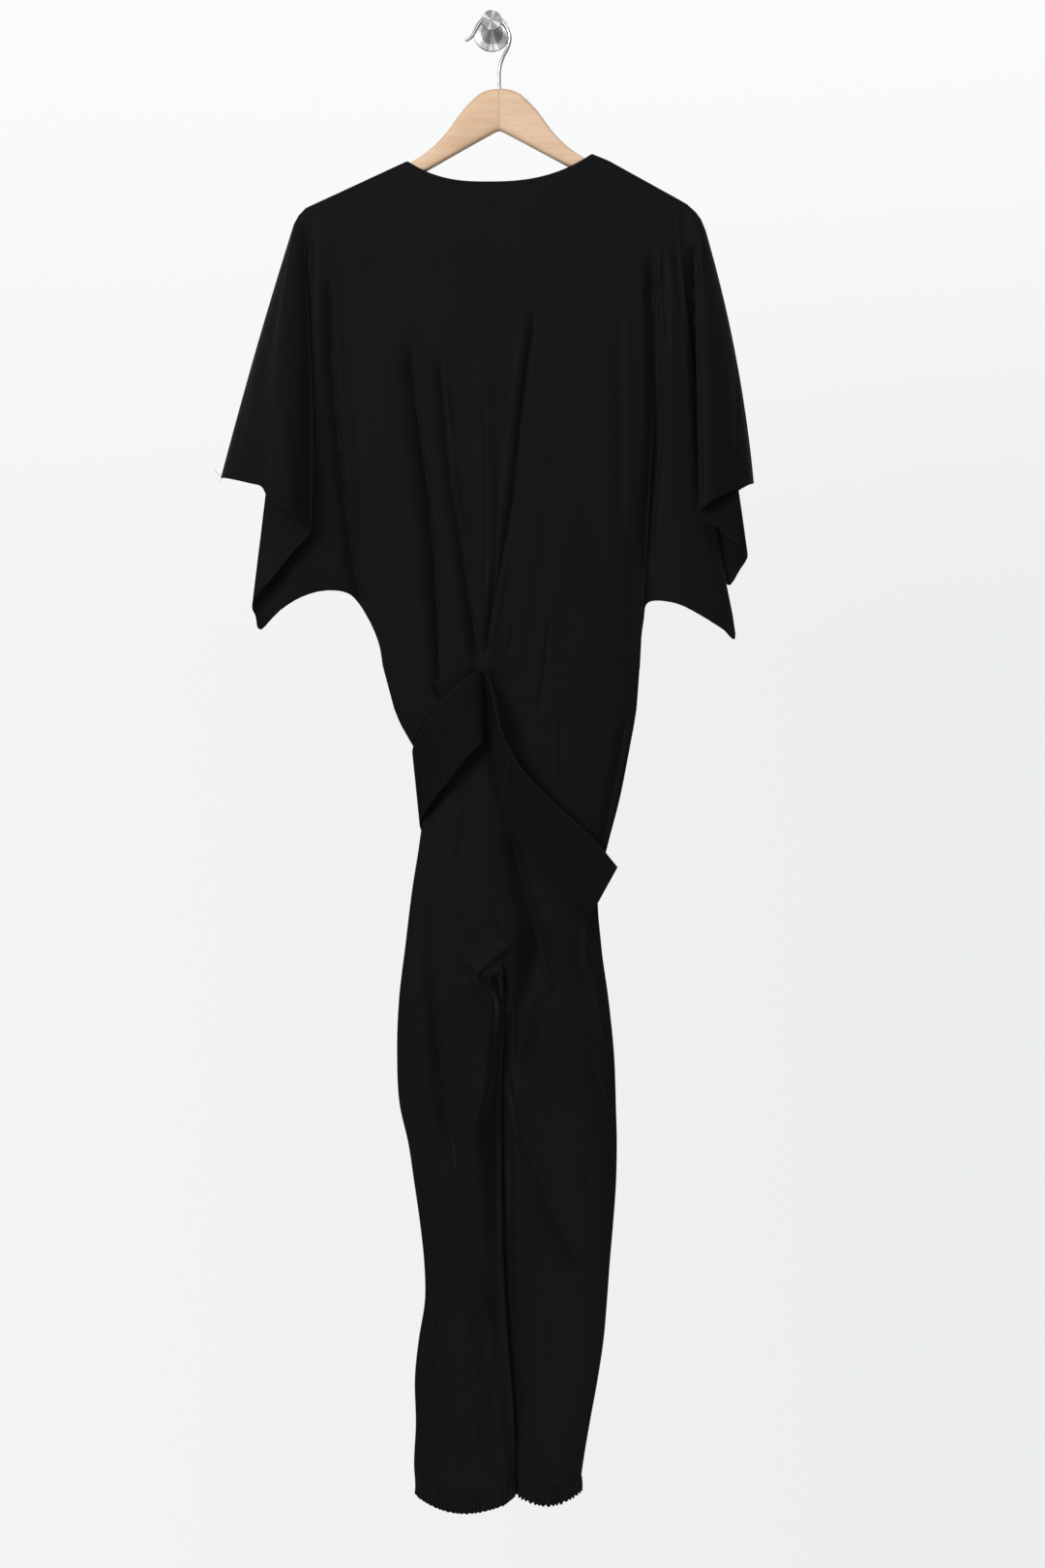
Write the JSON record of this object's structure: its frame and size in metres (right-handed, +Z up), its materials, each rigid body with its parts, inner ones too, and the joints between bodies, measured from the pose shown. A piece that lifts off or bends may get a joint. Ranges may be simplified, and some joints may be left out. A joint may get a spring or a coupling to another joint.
{
  "type": "jumpsuit on a hanger and wall knob",
  "caption": "Batwing-sleeved jumpsuit with a gathered waist, a belt and tapered legs, hung on a wooden hanger from a round wall knob, its back to the room.",
  "frame": {"origin": "centre of the wall knob's flat back face, on the wall", "axes": "+Z up; +Y into the wall; +X to the right as seen from the room, facing the garment's back"},
  "size_m": [0.5842, 0.091, 1.6468],
  "materials": {
    "black_jersey": "smooth, faintly sheeny stretch crepe jersey",
    "black_elastic": "dull ribbed elastic webbing",
    "beech": "satin varnish",
    "wire_steel": "plated wire",
    "knob_steel": "brushed"
  },
  "bodies": {
    "root": {"back_bodice": "black_jersey", "front_bodice": "black_jersey", "back_waistband": "black_jersey", "front_waistband": "black_jersey", "back_left_leg": "black_jersey", "back_right_leg": "black_jersey", "front_left_leg": "black_jersey", "front_right_leg": "black_jersey", "left_ankle_casing": "black_jersey", "right_ankle_casing": "black_jersey", "belt_left_stretch": "black_elastic", "belt_right_stretch": "black_elastic", "hanger_wood": "beech", "hanger_hook": "wire_steel", "wall_knob": "knob_steel"}
  },
  "joints": []
}
